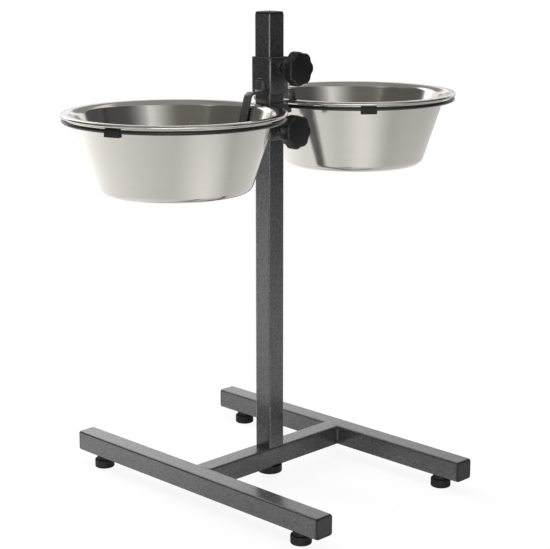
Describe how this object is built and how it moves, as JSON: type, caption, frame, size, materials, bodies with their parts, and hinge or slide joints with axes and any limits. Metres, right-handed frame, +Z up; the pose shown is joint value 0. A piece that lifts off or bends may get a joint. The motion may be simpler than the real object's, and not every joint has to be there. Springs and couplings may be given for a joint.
{
  "type": "dog feeder stand",
  "caption": "Raised dog feeder: an H-shaped square-tube base and post, with stainless bowls hung in wire rings from a sliding clamp collar and locked by a hooked collar above.",
  "frame": {"origin": "on the floor, under the middle of the post", "axes": "+Z up along the post, X from bowl to bowl, Y along the foot bars with the clamp knobs at -Y"},
  "size_m": [0.5859, 0.445, 0.609],
  "materials": {
    "grey_paint": "dark grey hammered enamel, half gloss",
    "black_plastic": "moulded, satin",
    "black_rubber": "matt",
    "stainless": "polished, with fine turned lines inside",
    "zinc_steel": "zinc plated",
    "white_nylon": "plain"
  },
  "bodies": {
    "base": {"foot_bar_left": "grey_paint", "foot_bar_right": "grey_paint", "cross_bar": "grey_paint", "cap_left_front": "black_plastic", "cap_left_rear": "black_plastic", "cap_right_front": "black_plastic", "cap_right_rear": "black_plastic", "cap_post": "black_plastic", "foot_left_front": "black_rubber", "foot_left_rear": "black_rubber", "foot_right_front": "black_rubber", "foot_right_rear": "black_rubber", "foot_screws": "zinc_steel", "bolt_cover": "black_plastic", "post_bolt": "zinc_steel", "post_block": "zinc_steel", "post": "grey_paint"},
    "bowl_carrier": {"lower_collar": "grey_paint", "lower_nut": "grey_paint", "ring_arm_left": "grey_paint", "ring_arm_right": "grey_paint", "ring_left": "grey_paint", "ring_right": "grey_paint", "ring_pads_left": "black_rubber", "ring_pads_right": "black_rubber"},
    "lower_clamp_tip": {"lower_tip": "white_nylon"},
    "lower_clamp_knob": {"lower_screw": "zinc_steel", "lower_knob": "black_plastic"},
    "bowl_lock": {"upper_collar": "grey_paint", "upper_nut": "grey_paint", "hook_left": "grey_paint", "hook_right": "grey_paint"},
    "upper_clamp_tip": {"upper_tip": "white_nylon"},
    "upper_clamp_knob": {"upper_screw": "zinc_steel", "upper_knob": "black_plastic"},
    "left_bowl": {"bowl_left": "stainless"},
    "right_bowl": {"bowl_right": "stainless"}
  },
  "joints": [
    {"name": "height_slide", "type": "slide", "parent": "base", "child": "bowl_carrier", "axis": [0, 0, 1], "range_m": [-0.352, 0.03]},
    {"name": "lock_slide", "type": "slide", "parent": "bowl_carrier", "child": "bowl_lock", "axis": [0, 0, 1], "range_m": [0, 0.054]},
    {"name": "lower_knob_turn", "type": "hinge", "parent": "lower_clamp_tip", "child": "lower_clamp_knob", "pos_m": [0, -0.0385, 0.4632], "axis": [0, -1, 0], "range_deg": [0, 720]},
    {"name": "lower_tip_feed", "type": "slide", "parent": "bowl_carrier", "child": "lower_clamp_tip", "axis": [0, -1, 0], "range_m": [0, 0.00255]},
    {"name": "upper_knob_turn", "type": "hinge", "parent": "upper_clamp_tip", "child": "upper_clamp_knob", "pos_m": [0, -0.042, 0.5412], "axis": [0, -1, 0], "range_deg": [0, 720]},
    {"name": "upper_tip_feed", "type": "slide", "parent": "bowl_lock", "child": "upper_clamp_tip", "axis": [0, -1, 0], "range_m": [0, 0.00255]},
    {"name": "left_bowl_lift", "type": "slide", "parent": "bowl_carrier", "child": "left_bowl", "axis": [0, 0, 1], "range_m": [0, 0.027]},
    {"name": "right_bowl_lift", "type": "slide", "parent": "bowl_carrier", "child": "right_bowl", "axis": [0, 0, 1], "range_m": [0, 0.027]}
  ],
  "couplings": [
    {"joint": "lower_tip_feed", "follows": "lower_knob_turn", "m_per_rad": 0.0001989},
    {"joint": "upper_tip_feed", "follows": "upper_knob_turn", "m_per_rad": 0.0001989},
    {"joint": "left_bowl_lift", "follows": "lock_slide", "ratio": 0.5},
    {"joint": "right_bowl_lift", "follows": "lock_slide", "ratio": 0.5}
  ]
}
